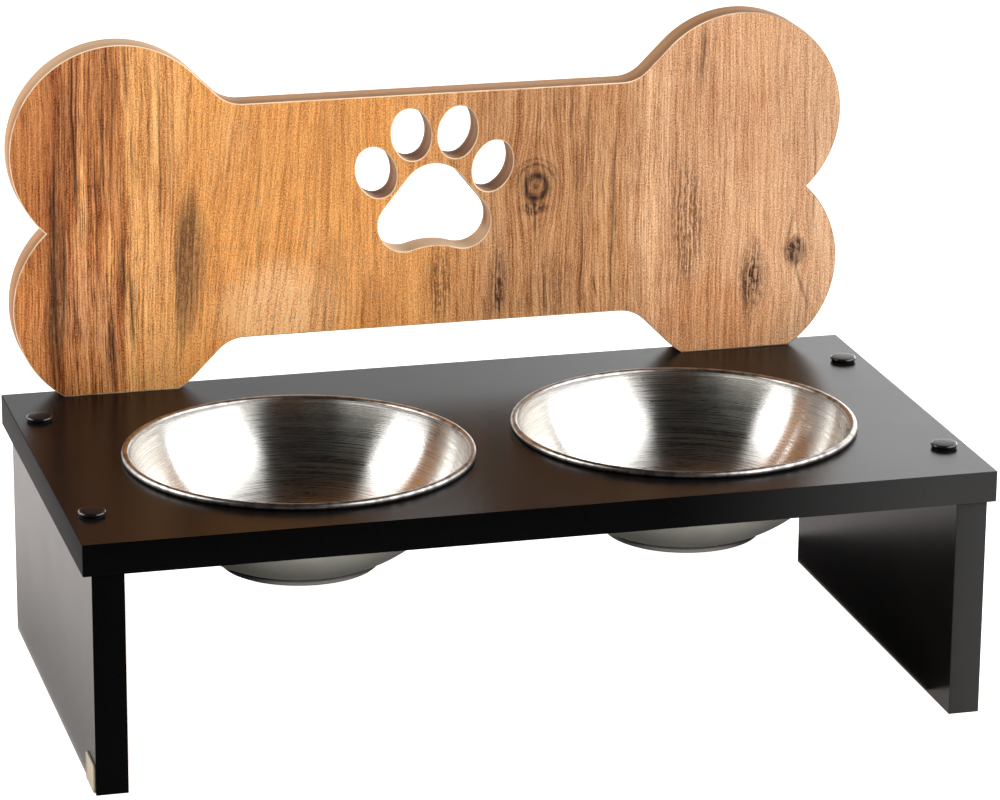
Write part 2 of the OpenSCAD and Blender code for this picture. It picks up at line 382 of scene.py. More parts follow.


# Second tones of the finishes, mixed in where a surface is worn, cloudy or darker, and as painted shade and
# a painted reflection
BLACK_CLOUD = (0.007, 0.006, 0.005)
EDGE_PIT = (0.0008, 0.0008, 0.0008)
TURNED_LINE = (0.40, 0.39, 0.38)
# Painted reflection that dulls the bowls' steel at the left
LEFT_REFLECTION_TONE = (0.38, 0.36, 0.32)
RIM_WEAR = (0.15, 0.145, 0.14)
SATIN_CLOUD = (0.14, 0.14, 0.13)
FOOT_DARK = (0.10, 0.10, 0.095)
# Painted shade in the groove over the bowls' bases
GROOVE_SHADE = (0.01, 0.01, 0.01)
CAP_RIPPLE = (0.012, 0.012, 0.013)
ZINC_CLOUD = (0.42, 0.42, 0.40)
BADGE_BRUSH = (0.30, 0.24, 0.17)
FLOOR_GRAIN = (0.50, 0.50, 0.50)
FLOOR_GLOW = (1.14, 1.05, 1.0, 1.0)
# Painted shade: tones of the dark sheet standing in for the floor's shadow under the stand
FLOOR_SHADOW_TONES = ((0.04, 0.04, 0.04), (0.06, 0.06, 0.06))
SHADE_TONES = ((0.02, 0.02, 0.02), (0.03, 0.03, 0.03))


class Vein(NamedTuple):
    """A thin dark line in the decor, in millimetres."""

    x: float
    z: float
    half_length: float
    half_width: float
    depth: float
    lean: float = 0.0


class Smudge(NamedTuple):
    """A soft spindle-shaped patch in the decor, in millimetres.

    Mottle is how much of it is flecks, and start is where a sharp line cuts off its left side.
    """

    x: float
    z: float
    half_width: float
    half_height: float
    depth: float
    mottle: float
    tone: str = "umber"
    start: float | None = None


VEINS = (
    Vein(-216.0, 318.0, 40.0, 0.9, 0.95),
    Vein(-215.0, 280.0, 26.0, 0.6, 0.7, -0.04),
    Vein(-229.0, 232.0, 62.0, 0.9, 0.7, 0.03),
    Vein(-223.0, 222.0, 44.0, 0.9, 0.7, 0.04),
    Vein(-207.0, 312.0, 42.0, 0.6, 0.6, 0.02),
    Vein(-203.5, 262.0, 50.0, 0.6, 0.5, -0.02),
    Vein(-199.5, 296.0, 34.0, 0.7, 0.6, -0.02),
    Vein(-193.0, 312.0, 42.0, 0.7, 0.6, 0.03),
    Vein(-184.5, 338.0, 18.0, 0.9, 0.6),
    Vein(-181.5, 292.0, 12.0, 0.5, 0.5, -0.1),
    Vein(-188.0, 224.0, 22.0, 1.0, 0.7, -0.02),
    Vein(-183.5, 196.0, 24.0, 0.8, 0.8, -0.05),
    Vein(-165.5, 292.0, 60.0, 0.6, 0.5, -0.01),
    Vein(-160.0, 292.0, 54.0, 0.5, 0.4, -0.02),
    Vein(-171.0, 305.0, 44.0, 0.5, 0.3),
    Vein(-107.0, 252.0, 52.0, 1.2, 0.25, 0.03),
    Vein(-88.0, 306.0, 9.0, 0.9, 0.45, 0.1),
    Vein(-72.0, 262.0, 46.0, 0.9, 0.22, 0.04),
    Vein(67.0, 291.0, 11.0, 0.7, 0.25, 0.4),
    Vein(73.5, 306.0, 11.0, 0.7, 0.65),
    Vein(84.0, 302.0, 14.0, 0.7, 0.65),
    Vein(94.5, 288.0, 20.0, 0.7, 0.7),
    Vein(111.0, 236.0, 56.0, 0.8, 0.6, 0.02),
    Vein(91.0, 212.0, 34.0, 0.7, 0.5),
    Vein(68.0, 190.0, 12.0, 0.7, 0.8),
    Vein(100.0, 190.0, 7.0, 0.7, 0.65, -0.2),
    Vein(62.5, 234.0, 6.0, 0.6, 0.6),
    Vein(166.0, 330.0, 17.0, 0.9, 0.7),
    Vein(231.5, 184.0, 17.0, 1.0, 0.45, -0.3),
    Vein(223.5, 220.0, 10.0, 1.1, 0.45, 0.15),
    Vein(238.0, 250.0, 40.0, 0.6, 0.4),
)
SMUDGES = (
    Smudge(-38.0, 188.0, 16.0, 26.0, 0.4, 0.3, "russet"),
    Smudge(-90.0, 190.0, 48.0, 36.0, 0.5, 0.3, "haze"),
    Smudge(172.0, 162.0, 56.0, 40.0, 0.5, 0.3, "chestnut"),
    Smudge(134.0, 250.0, 9.0, 120.0, 0.25, 0.2, "haze"),
    Smudge(-149.0, 219.0, 16.0, 58.0, 0.82, 0.34, "smoke", -157.3),
    Smudge(-152.5, 218.0, 6.0, 38.0, 0.4, 0.2),
    Smudge(-227.5, 212.0, 8.5, 84.0, 0.85, 0.5),
    Smudge(-230.0, 190.0, 5.5, 40.0, 0.6, 0.5),
    Smudge(-195.5, 168.0, 4.5, 28.0, 0.6, 0.4),
    Smudge(-195.0, 225.0, 3.2, 28.0, 0.75, 0.0, "honey"),
    Smudge(-210.5, 262.0, 2.2, 38.0, 0.65, 0.0, "honey"),
    Smudge(-188.5, 218.0, 3.4, 34.0, 0.5, 0.5),
    Smudge(-198.0, 330.0, 13.0, 44.0, 0.4, 0.7),
    Smudge(-222.0, 308.0, 7.0, 40.0, 0.45, 0.6),
    Smudge(-62.0, 200.0, 12.0, 44.0, 0.26, 0.5),
    Smudge(-62.0, 300.0, 12.0, 36.0, 0.18, 0.5),
    Smudge(3.0, 200.0, 11.0, 30.0, 0.7, 1.0),
    Smudge(74.0, 192.0, 20.0, 30.0, 0.42, 0.8),
    Smudge(87.5, 264.0, 5.5, 24.0, 0.4, 0.6),
    Smudge(157.0, 228.0, 15.0, 50.0, 0.72, 0.95),
    Smudge(166.0, 328.0, 6.5, 26.0, 0.4, 0.8),
    Smudge(40.0, 198.0, 9.0, 30.0, 0.75, 0.7, "smoke"),
    Smudge(40.5, 190.0, 4.0, 14.0, 1.0, 0.75, "ink"),
    Smudge(199.0, 188.0, 11.0, 34.0, 0.7, 0.75, "smoke"),
    Smudge(199.5, 186.0, 5.0, 20.0, 0.95, 0.8, "ink"),
    Smudge(226.0, 204.5, 6.5, 12.0, 1.0, 0.4, "ink"),
    Smudge(62.0, 241.5, 8.0, 5.5, 0.95, 0.8, "ink"),
)
# Where the grain bends outwards: x, z, reach to the side, reach up and down, and how much
BENDS = ((62.5, 255.0, 15.0, 24.0, 0.75), (226.0, 204.0, 10.0, 20.0, 0.6), (199.0, 190.0, 10.0, 24.0, 0.4))
# Place across the bone, ground tone there and how strong the grain is there
GROUNDS = (
    (-256.0, "chestnut", 0.38),
    (-236.0, "chestnut", 0.57),
    (-229.0, "russet", 0.80),
    (-212.0, "chestnut", 0.84),
    (-190.0, "chestnut", 0.80),
    (-184.0, "honey", 0.53),
    (-160.0, "honey", 0.44),
    (-146.0, "amber", 0.34),
    (-30.0, "amber", 0.28),
    (36.0, "tan", 0.49),
    (112.0, "tan", 0.53),
    (136.0, "oat", 0.42),
    (205.0, "oat", 0.32),
    (238.0, "dusk", 0.32),
)
KNOT_AT = (62.5, 255.0)
# The knot's rings: radius, width, depth, and how much of the ring shows below the knot too
KNOT_RINGS = ((6.2, 2.2, 1.0, 1.0), (12.0, 0.9, 0.7, 0.0), (15.0, 0.8, 0.4, 0.0))
# Width that the ground tones are spread over
DECOR_W = 512.0
# The paw on the bone: its middle, and the height under which its walls are the pad's floor
PAW_Z = 263.0
PAD_FLOOR_Z = 224.0


def add_knot(nodes, wood, tones, x, z, waver, mottle):
    """The round knot: a dark ring round a lighter core, a soft brown halo and broken arcs over it."""
    side = x - KNOT_AT[0] + waver * 3.0
    height = (z - KNOT_AT[1]) / 1.15
    blotch = nodes.noise(nodes.vector(x * 0.4, 31.0, z * 0.4), 1.0, 3.0, 0.6)
    away = nodes.root(side * side + height * height) + (blotch - 0.5) * 3.5
    above = nodes.rise(height, -2.0, 7.0)
    wood = nodes.mix(wood, tones.umber, nodes.rise(away, 17.0, 6.0) * 0.28)
    for radius, width, depth, everywhere in KNOT_RINGS:
        gap = (away - radius) / width
        share = everywhere + above * (1.0 - everywhere)
        wood = nodes.mix(wood, tones.ink, nodes.bell(gap * gap) * share * (depth * (0.7 + mottle * 0.3)))
    return nodes.mix(wood, tones.ink, nodes.rise(away, 2.6, 0.4) * (0.3 + mottle * 0.4))


def wood_decor(nodes, tones, x, y, z):
    """Wood decor with upright grain: ground tones, fibres, flecks, cracks, veins, smudges and a knot."""
    drift = nodes.noise(nodes.vector(x * 0.011, 1.0, z * 0.007)) - 0.5
    waver = nodes.noise(nodes.vector(x * 0.06, 5.0, z * 0.03)) - 0.5
    slant_at = (x + 105.0) / 42.0
    slant = nodes.bell(slant_at * slant_at) * 0.13
    grain_x = x + drift * 8.0 + waver * 2.6 - (z - 250.0) * slant
    for at_x, at_z, reach_x, reach_z, push in BENDS:
        across = (x - at_x) / reach_x
        up = (z - at_z) / reach_z
        grain_x = grain_x - (x - at_x) * (nodes.bell(across * across + up * up) * push)

    place = grain_x / DECOR_W + 0.5
    tone_stops = [(at / DECOR_W + 0.5, getattr(tones, tone)) for at, tone, _ in GROUNDS]
    grain_stops = [(at / DECOR_W + 0.5, (strength,) * 3) for at, _, strength in GROUNDS]
    wood = nodes.add("ShaderNodeValToRGB", {"stops": tone_stops}, {0: place})
    strength = nodes.add("ShaderNodeValToRGB", {"stops": grain_stops}, {0: place})

    streak = nodes.noise(nodes.vector(grain_x * 0.24, 2.0, z * 0.006), 1.0, 5.0, 0.65)
    fibre = nodes.noise(nodes.vector(grain_x * 0.8, 8.0, z * 0.014), 1.0, 3.0, 0.6)
    fleck = nodes.noise(nodes.vector(grain_x * 1.15, 13.0, z * 0.09), 1.0, 2.0, 0.6)
    grit = nodes.noise(nodes.vector(x * 1.25, 17.0, z * 0.95), 1.0, 2.0, 0.6)
    pores = nodes.noise(nodes.vector(grain_x, 41.0, z * 0.085), 1.0, 1.0)
    cloud = nodes.noise(nodes.vector(x * 0.022, 21.0, z * 0.012), 1.0, 3.0)

    wood = nodes.mix(wood, tones.russet, nodes.rise(cloud, 0.5, 0.8) * 0.35)
    wood = nodes.mix(wood, tones.oat, nodes.rise(cloud, 0.48, 0.22) * 0.35)
    mottle = nodes.rise(fibre * 0.65 + fleck * 0.35, 0.43, 0.57)
    shard = nodes.noise(nodes.vector(grain_x * 0.8, 61.0, z * 0.2), 1.0, 3.0, 0.65)
    broken = nodes.rise(shard * 0.55 + fibre * 0.45, 0.45, 0.54)
    for smudge in SMUDGES:
        across = abs(grain_x - smudge.x) / smudge.half_width
        up = (z - smudge.z) / smudge.half_height
        soft = nodes.rise(across + up * up, 1.1, 0.25)
        if smudge.start is not None:
            soft = soft * nodes.rise(x + waver * 2.0, smudge.start - 0.7, smudge.start + 0.7)
        share = (1.0 - smudge.mottle) + broken * smudge.mottle
        wood = nodes.mix(wood, getattr(tones, smudge.tone), soft * share * smudge.depth)

    lively = (0.5 - streak) * 4.2 + (0.5 - nodes.rise(fibre, 0.36, 0.64)) * 1.2 + (0.5 - fleck) * 2.5
    shade = nodes.most(1.0 + strength * lively + (0.5 - grit) * 2.8, 0.15)
    lift = 1.12 + nodes.rise(z, 300.0, 160.0) * 0.38
    warm_shade = nodes.vector(shade ** 0.65 * lift, shade * lift, shade ** 1.3 * lift)
    wood = nodes.mix(wood, warm_shade, 1.0, "MULTIPLY")
    wood = nodes.mix(wood, tones.russet, nodes.rise(pores, 0.60, 0.70) * 0.4)
    split = nodes.noise(nodes.vector(grain_x * 0.30, 55.0, z * 0.011), 1.0, 3.0, 0.55)
    crack = nodes.rise(abs(split - 0.5), 0.022, 0.005)
    wood = nodes.mix(wood, tones.ink, crack * strength * (0.3 + mottle * 0.6))
    for vein in VEINS:
        along = (z - vein.z) / vein.half_length
        across = (x + waver * 3.5 - vein.x - (z - vein.z) * vein.lean) / vein.half_width
        line = nodes.bell(across * across + along * along * along * along)
        wood = nodes.mix(wood, tones.ink, line * (vein.depth * (0.7 + fibre * 0.7)))
    wood = add_knot(nodes, wood, tones, x, z, waver, mottle)

    relief = 1.0 - fibre * 0.5 - nodes.rise(fleck, 0.55, 0.75) * 0.5
    nodes.surface(
        Base_Color=wood,
        Roughness=0.42 + fibre * 0.12,
        Specular_IOR_Level=0.15,
        Normal=nodes.bump(relief, 0.0001),
    )


def bare_fibre(nodes, tones, x, y, z):
    """Bare fibreboard edge of the bone, browner beside the front face; painted shade darkens it to the
    right, at the back of the paw's walls and on the lower left lobe, and painted light makes it paler on
    the pad's floor and the upper left lobe.
    """
    grit = nodes.noise(nodes.vector(x, y, z), 1.6, 4.0, 0.65)
    layer = nodes.noise(nodes.vector(x * 0.05, y * 0.9, z * 0.05), 1.0, 2.0)
    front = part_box("bone_backboard")[0].y / MM
    in_paw = nodes.rise(abs(x), 70.0, 55.0) * nodes.rise(abs(z - PAW_Z), 50.0, 47.0)
    # Painted light on the pad's floor, which faces up, and painted shade at the back of the paw's other
    # walls
    pad_floor_light = in_paw * nodes.rise(z, PAD_FLOOR_Z + 10.0, PAD_FLOOR_Z)
    # Browner strip beside the front face, weaker in the paw
    front_strip = nodes.rise(y, front + 12.0, front + 3.0) * (0.6 - in_paw * 0.6)
    paw_back_shade = nodes.rise(y, front + 5.0, front + 13.0) * (in_paw - pad_floor_light * 0.9)
    wood = nodes.mix(tones.fibre, tones.fibre_brown_and_shade, front_strip + nodes.rise(layer, 0.45, 0.75) * 0.2)
    wood = nodes.mix(wood, tones.oat, in_paw * 0.15)
    wood = nodes.mix(wood, tones.fibre_brown_and_shade, paw_back_shade * 0.9)
    wood = nodes.mix(wood, tones.cream, pad_floor_light * 0.35)
    # Painted shade on the lower left lobe
    low_lobe_shade = nodes.rise(x, -215.0, -235.0) * nodes.rise(z, 245.0, 225.0)
    wood = nodes.mix(wood, tones.fibre_brown_and_shade, low_lobe_shade * 0.35)
    wood = nodes.mix(wood, tones.fibre_brown_and_shade, nodes.rise(grit, 0.5, 0.8) * 0.35)
    # Painted light on the upper left lobe
    high_lobe_light = nodes.rise(x, -100.0, -160.0) * nodes.rise(z, 315.0, 350.0)
    wood = nodes.mix(wood, tones.cream, high_lobe_light * 0.25)
    # Painted shade: the edge turns browner towards the right
    wood = nodes.mix(wood, tones.fibre_brown_and_shade, nodes.rise(x, 80.0, 230.0) * 0.35)
    nodes.surface(
        Base_Color=wood,
        Roughness=0.62 + grit * 0.2,
        Specular_IOR_Level=0.3,
        Normal=nodes.bump(grit, 0.0002),
    )


def pale_chamfer(nodes, tones, x, y, z):
    """Cut edge of the decor: a thin pale line, with painted shade that turns it brown towards the right."""
    chips = nodes.noise(nodes.vector(x, y, z), 0.05, 3.0, 0.6)
    wood = nodes.mix(tones.cream, tones.fibre, nodes.rise(chips, 0.45, 0.8))
    # Painted shade: the chamfer turns brown towards the right
    wood = nodes.mix(wood, tones.umber, nodes.rise(x, 150.0, 225.0) * 0.75)
    nodes.surface(Base_Color=wood, Roughness=0.5 + chips * 0.15, Specular_IOR_Level=0.35)


def satin_black(nodes, tones, x, y, z, specular):
    """Satin black face of a panel, with a fine even texture."""
    skin = nodes.noise(nodes.vector(x, y, z), 2.2, 2.0, 0.6)
    cloud = nodes.noise(nodes.vector(x, y, z), 0.02, 3.0)
    tone = nodes.mix(tones.board, BLACK_CLOUD, nodes.rise(cloud, 0.4, 0.7) * 0.6)
    nodes.surface(
        Base_Color=tone,
        Roughness=0.18 + cloud * 0.06 + skin * 0.03,
        Specular_IOR_Level=specular,
        Normal=nodes.bump(skin, 0.00003),
    )


def black_face(nodes, tones, x, y, z):
    """Face of the top board."""
    satin_black(nodes, tones, x, y, z, 0.062)


def leg_face(nodes, tones, x, y, z):
    """Face of a leg, a little duller than the board's."""
    satin_black(nodes, tones, x, y, z, 0.05)


def black_edge(nodes, tones, x, y, z):
    """Painted edge of the black board, fibrous, with painted light that makes it greyer towards the right.
    """
    pits = nodes.noise(nodes.vector(x, y, z), 1.1, 4.0, 0.7)
    hairs = nodes.noise(nodes.vector(x * 0.5, y * 0.5, z * 1.6), 1.0, 3.0, 0.6)
    tone = nodes.mix(EDGE_PIT, tones.board_edge, nodes.rise(hairs, 0.45, 0.7))
    # Painted light: the edges turn greyer towards the right
    tone = nodes.mix(tone, tones.lit_edge, nodes.rise(x, 60.0, 250.0))
    nodes.surface(
        Base_Color=tone,
        Roughness=0.36 + pits * 0.2,
        Specular_IOR_Level=0.014,
        Normal=nodes.bump(pits * 0.7 + hairs * 0.3, 0.0003),
    )


def spun_steel(nodes, tones, x, y, z):
    """Stainless steel with fine turned lines round the bowl's axis, with a painted reflection that dulls it
    at the left.
    """
    radius = nodes.root(x * x + y * y) + 0.001
    turn_x = x / radius
    turn_y = y / radius
    along = radius + z
    lines = nodes.noise(nodes.vector(along * 1.3, turn_x * 1.1, turn_y * 1.1), 1.0, 2.0, 0.6)
    dashes = nodes.noise(nodes.vector(along * 1.3, turn_x * 8.0, turn_y * 8.0), 1.0, 1.0, 0.5)
    tone = nodes.mix(tones.steel, TURNED_LINE, nodes.rise(lines, 0.48, 0.68) * 0.3)
    # Painted reflection: the steel turns darker and warmer towards the left
    tone = nodes.mix(tone, LEFT_REFLECTION_TONE, nodes.rise(x, -50.0, -85.0) * 0.5)
    nodes.surface(
        Base_Color=tone,
        Metallic=1.0,
        Roughness=0.21 + nodes.rise(lines, 0.35, 0.65) * 0.11,
        Anisotropic=0.96,
        Anisotropic_Rotation=0.25,
        Normal=nodes.bump(lines * 0.4 + dashes * 0.6, 0.00003),
    )


def rim_steel(nodes, tones, x, y, z):
    """Rolled rim of a bowl, dull, in steel darkened as painted shade that dims its reflections, with cloudy
    patches.
    """
    haze = nodes.noise(nodes.vector(x, y, z), 0.15, 3.0)
    # Painted shade: the rim's darker steel dims its reflections
    tone = nodes.mix(tones.rim_shaded, RIM_WEAR, nodes.rise(haze, 0.4, 0.7))
    nodes.surface(
        Base_Color=tone,
        Metallic=1.0,
        Roughness=0.24 + haze * 0.12,
        Normal=nodes.bump(haze, 0.00005),
    )


def satin_steel(nodes, tones, x, y, z):
    """Duller stainless steel of a bowl's outside, darkened as painted shade, with painted shade in the
    groove over its base and a darker band round its foot.
    """
    cloud = nodes.noise(nodes.vector(x, y, z), 0.06, 3.0)
    grit = nodes.noise(nodes.vector(x, y, z), 1.4, 3.0, 0.6)
    # Base tone darkened as painted shade
    tone = nodes.mix(tones.satin_shaded, SATIN_CLOUD, nodes.rise(cloud, 0.35, 0.7) * 0.12)
    # Darker band round the foot
    foot = nodes.rise(z, 3.4, 2.4) * nodes.rise(nodes.root(x * x + y * y), 41.0, 44.0)
    tone = nodes.mix(tone, FOOT_DARK, foot * 0.75)
    # Painted shade in the groove over the base
    from_groove = (z - 3.1) / 0.9
    tone = nodes.mix(tone, GROOVE_SHADE, nodes.bell(from_groove * from_groove) * 0.9)
    nodes.surface(
        Base_Color=tone,
        Metallic=1.0,
        Roughness=0.48 + grit * 0.12,
        Normal=nodes.bump(grit, 0.00004),
    )


def cap_gloss(nodes, tones, x, y, z):
    """Moulded black plastic, glossy round the edge and dull on top."""
    ripple = nodes.noise(nodes.vector(x, y, z), 0.5, 3.0)
    edge = nodes.rise(nodes.root(x * x + y * y), 6.4, 7.2)
    tone = nodes.mix(tones.cap, CAP_RIPPLE, ripple)
    nodes.surface(
        Base_Color=tone,
        Roughness=0.2 + ripple * 0.1,
        Specular_IOR_Level=0.03,
        Coat_Weight=edge * 0.9,
        Coat_Roughness=0.1,
        Normal=nodes.bump(ripple, 0.00004),
    )


def zinc_plate(nodes, tones, x, y, z):
    """Zinc-plated screw steel with a cloudy plating."""
    cloud = nodes.noise(nodes.vector(x, y, z), 0.7, 4.0, 0.6)
    tone = nodes.mix(tones.zinc, ZINC_CLOUD, nodes.rise(cloud, 0.4, 0.75))
    nodes.surface(
        Base_Color=tone,
        Metallic=1.0,
        Roughness=0.26 + cloud * 0.2,
        Normal=nodes.bump(cloud, 0.00003),
    )


def badge_tan(nodes, tones, x, y, z):
    """Bare tan plate with a fine brushed grain."""
    brush = nodes.noise(nodes.vector(x, y * 0.3, z * 3.0), 1.0, 3.0, 0.6)
    tone = nodes.mix(tones.badge, BADGE_BRUSH, nodes.rise(brush, 0.45, 0.8) * 0.6)
    nodes.surface(Base_Color=tone, Roughness=0.42 + brush * 0.15, Normal=nodes.bump(brush, 0.00005))


def pale_floor(nodes, tones, x, y, z):
    """Plain pale floor, lit evenly like a light table."""
    grain = nodes.noise(nodes.vector(x, y, z), 0.02, 2.0)
    tone = nodes.mix(tones.floor, FLOOR_GRAIN, grain * 0.25)
    nodes.surface(
        Base_Color=tone,
        Roughness=0.85,
        Specular_IOR_Level=0.1,
        Emission_Color=FLOOR_GLOW,
        Emission_Strength=1.0,
    )


def dark_card(nodes, tones, x, y, z):
    """Matt dark sheet, painted shade standing in for the floor's shadow under the stand, which keeps the
    light of the floor from the stand's underside.
    """
    grain = nodes.noise(nodes.vector(x, y, z), 0.1, 2.0)
    tone = nodes.mix(*FLOOR_SHADOW_TONES, grain)
    nodes.surface(Base_Color=tone, Roughness=0.9, Specular_IOR_Level=0.1)


def soft_shade(nodes, tones, x, y, z):
    """Thin dark veil on the floor beside the left leg, fading outwards."""
    near = nodes.rise(x, -318.0, -258.0) * nodes.rise(y, 440.0, 100.0)
    tone = nodes.mix(*SHADE_TONES, near)
    nodes.surface(Base_Color=tone, Roughness=0.9, Specular_IOR_Level=0.0, Alpha=near * 0.4)


FINISHES = {
    maker.__name__: maker
    for maker in (
        wood_decor, bare_fibre, pale_chamfer, black_face, leg_face, black_edge, spun_steel, rim_steel,
        satin_steel, cap_gloss, zinc_plate, badge_tan, pale_floor, dark_card, soft_shade,
    )
}


def finish(name):
    """The finish with this name, made when it is first asked for."""
    material = bpy.data.materials.get(name)
    if material is None:
        material = bpy.data.materials.new(name)
        nodes = Nodes(material)
        FINISHES[name](nodes, bpy.context.scene.feeder_finishes, *nodes.millimetres())
    return material


def arc(centre, radius, start, end, steps):
    """Points along an arc, both ends included, with its angles in degrees."""
    angles = [math.radians(start + (end - start) * i / steps) for i in range(steps + 1)]
    return [(centre[0] + radius * math.cos(a), centre[1] + radius * math.sin(a)) for a in angles]


def circle(centre, radius, steps):
    """A closed ring of points."""
    return arc(centre, radius, 0.0, 360.0, steps)[:-1]


def rounded_rectangle(low, high, radius, steps=4):
    """A closed rectangle with rounded corners."""
    corners = (
        (high[0] - radius, high[1] - radius, 0.0),
        (low[0] + radius, high[1] - radius, 90.0),
        (low[0] + radius, low[1] + radius, 180.0),
        (high[0] - radius, low[1] + radius, 270.0),
    )
    return [p for u, v, start in corners for p in arc((u, v), radius, start, start + 90.0, steps)]


def inset(loop, distance):
    """An anticlockwise loop moved inwards all along, or outwards where the distance is negative."""
    moved = []
    count = len(loop)
    for i, (u, v) in enumerate(loop):
        before = Vector(loop[i]) - Vector(loop[i - 1])
        after = Vector(loop[(i + 1) % count]) - Vector(loop[i])
        inward = [Vector((-d.y, d.x)).normalized() for d in (before, after)]
        bisector = (inward[0] + inward[1]).normalized()
        reach = distance / max(0.35, bisector.dot(inward[0]))
        moved.append((u + bisector.x * reach, v + bisector.y * reach))
    return moved


def worn_edges(loop, thickness, radius, steps=3):
    """Rings of a panel's edge from face to face, with both edges rounded."""
    rings = []
    for i in range(steps + 1):
        a = math.pi / 2 * i / steps
        rings.append((inset(loop, radius * (1 - math.sin(a))), radius * (1 - math.cos(a))))
    return rings + [(ring, thickness - depth) for ring, depth in reversed(rings)]


def chamfered_edges(loop, thickness, width, depth):
    """Rings of an edge from face to face, chamfered at both. Round a hole the width is negative."""
    end = inset(loop, width)
    return [(end, 0.0), (loop, depth), (loop, thickness - depth), (end, thickness)]


def new_piece(name, bm, materials, at=(0.0, 0.0, 0.0)):
    """A piece from a finished bmesh, with its materials."""
    mesh = bpy.data.meshes.new(name)
    bmesh.ops.recalc_face_normals(bm, faces=bm.faces[:])
    bm.to_mesh(mesh)
    bm.free()
    for material in materials:
        mesh.materials.append(finish(material))
    piece = bpy.data.objects.new(name, mesh)
    piece.location = at
    bpy.context.scene.collection.objects.link(piece)
    return piece


def settle(piece, body, slot, *nodes):
    """Let a piece ride on a body and stand for its CAD nodes, which it hides. The slot is not used."""
    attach(piece, body)
    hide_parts(*nodes)


def bridge(bm, rings, smooth):
    """Faces between each ring of vertices and the next."""
    made = []
    for first, second in zip(rings, rings[1:]):
        count = len(first)
        for i in range(count):
            j = (i + 1) % count
            face = bm.faces.new((first[i], first[j], second[j], second[i]))
            face.smooth = smooth
            made.append(face)
    return made


def cover(bm, rings):
    """A flat face that fills the space between rings of vertices. Its edges stay sharp."""
    edges = []
    for ring in rings:
        for i, vertex in enumerate(ring):
            edge = bm.edges.get((ring[i - 1], vertex)) or bm.edges.new((ring[i - 1], vertex))
            edge.smooth = False
            edges.append(edge)
    filled = bmesh.ops.triangle_fill(bm, use_beauty=True, use_dissolve=False, edges=edges)
    return [f for f in filled["geom"] if isinstance(f, bmesh.types.BMFace)]


def shell(stacks, covers, place):
    """A closed solid: stacks of rings, each a loop and its depth, and covers over some of their rings.

    Each cover names its rings by stack and place in the stack. Returns the bmesh, the faces of each stack
    and the faces of each cover.
    """
    bm = bmesh.new()
    rings = [
        [[bm.verts.new(place(u, v, depth)) for u, v in loop] for loop, depth in stack] for stack in stacks
    ]
    walls = [bridge(bm, stack, True) for stack in rings]
    lids = [cover(bm, [rings[s][r] for s, r in group]) for group in covers]
    return bm, walls, lids


def sharpen(bm, degrees):
    """Mark the edges that turn by more than an angle as sharp."""
    for edge in bm.edges:
        if len(edge.link_faces) == 2 and edge.calc_face_angle(0.0) > math.radians(degrees):
            edge.smooth = False


def paint(faces, index):
    """Give faces a material by its number."""
    for face in faces:
        face.material_index = index


def panel(name, outer, holes, place, materials, chamfer_rings=0):
    """A flat panel with through holes. Materials are for the faces, the edges and any chamfer."""
    stacks = [outer] + holes
    ends = [[(i, end) for i in range(len(stacks))] for end in (0, -1)]
    bm, walls, lids = shell(stacks, ends, place)
    for wall, stack in zip(walls, stacks):
        paint(wall, 1)
        around = len(stack[0][0])
        if chamfer_rings:
            paint(wall[:around * chamfer_rings], 2)
            paint(wall[-around * chamfer_rings:], 2)
    for lid in lids:
        paint(lid, 0)
    bm.normal_update()
    sharpen(bm, 40.0)
    return new_piece(name, bm, materials)


def lathe(name, profile, at, segments, materials, splits=()):
    """A turned piece: a profile of radius and height, from the axis and back to it, swept round.

    Each material after the first starts at the point of the profile that its split counts to.
    """
    bm = bmesh.new()
    spin = circle((0.0, 0.0), 1.0, segments)
    top = bm.verts.new((0.0, 0.0, profile[0][1]))
    rings = [[bm.verts.new((r * c, r * s, z)) for c, s in spin] for r, z in profile[1:-1]]
    bottom = bm.verts.new((0.0, 0.0, profile[-1][1]))
    walls = bridge(bm, rings, True)
    for tip, ring in ((top, rings[0]), (bottom, rings[-1])):
        for i in range(segments):
            face = bm.faces.new((tip, ring[i - 1], ring[i]))
            face.smooth = True
            walls.append(face)
    for index, split in enumerate(splits, 1):
        paint(walls[segments * split:-2 * segments] + walls[-segments:], index)
    bm.normal_update()
    sharpen(bm, 50.0)
    return new_piece(name, bm, materials, at)


def bone_loop(sizes, half_w, foot_drop):
    """Outline of the bone about its own middle, anticlockwise, with its lower lobes cut flat."""
    flank = math.degrees(sizes.flank)
    lobe = (half_w - sizes.lobe_r, sizes.height / 2 - sizes.lobe_r)
    notch = math.degrees(math.asin(lobe[1] / sizes.lobe_r))
    cut = math.degrees(math.asin((foot_drop - lobe[1]) / sizes.lobe_r))
    meet = Vector(lobe) + sizes.lobe_r * Vector((-math.sin(sizes.flank), math.cos(sizes.flank)))
    rise = (meet.y - sizes.shaft_h / 2) / math.sin(sizes.flank)
    shaft_x = meet.x - rise * math.cos(sizes.flank) - sizes.fillet_r * math.tan(sizes.flank / 2)
    fillet_z = sizes.shaft_h / 2 + sizes.fillet_r
    lower_lobe = (lobe[0], -lobe[1])
    right = arc((shaft_x, -fillet_z), sizes.fillet_r, 90.0, 90.0 - flank, 12)
    right += arc(lower_lobe, sizes.lobe_r, -90.0 - flank, -180.0 + cut, 6)
    right += arc(lower_lobe, sizes.lobe_r, -cut, notch, 48)
    right += arc(lobe, sizes.lobe_r, -notch, 90.0 + flank, 80)[1:]
    right += arc((shaft_x, fillet_z), sizes.fillet_r, 270.0 + flank, 270.0, 12)
    return right + [(-u, v) for u, v in reversed(right)]


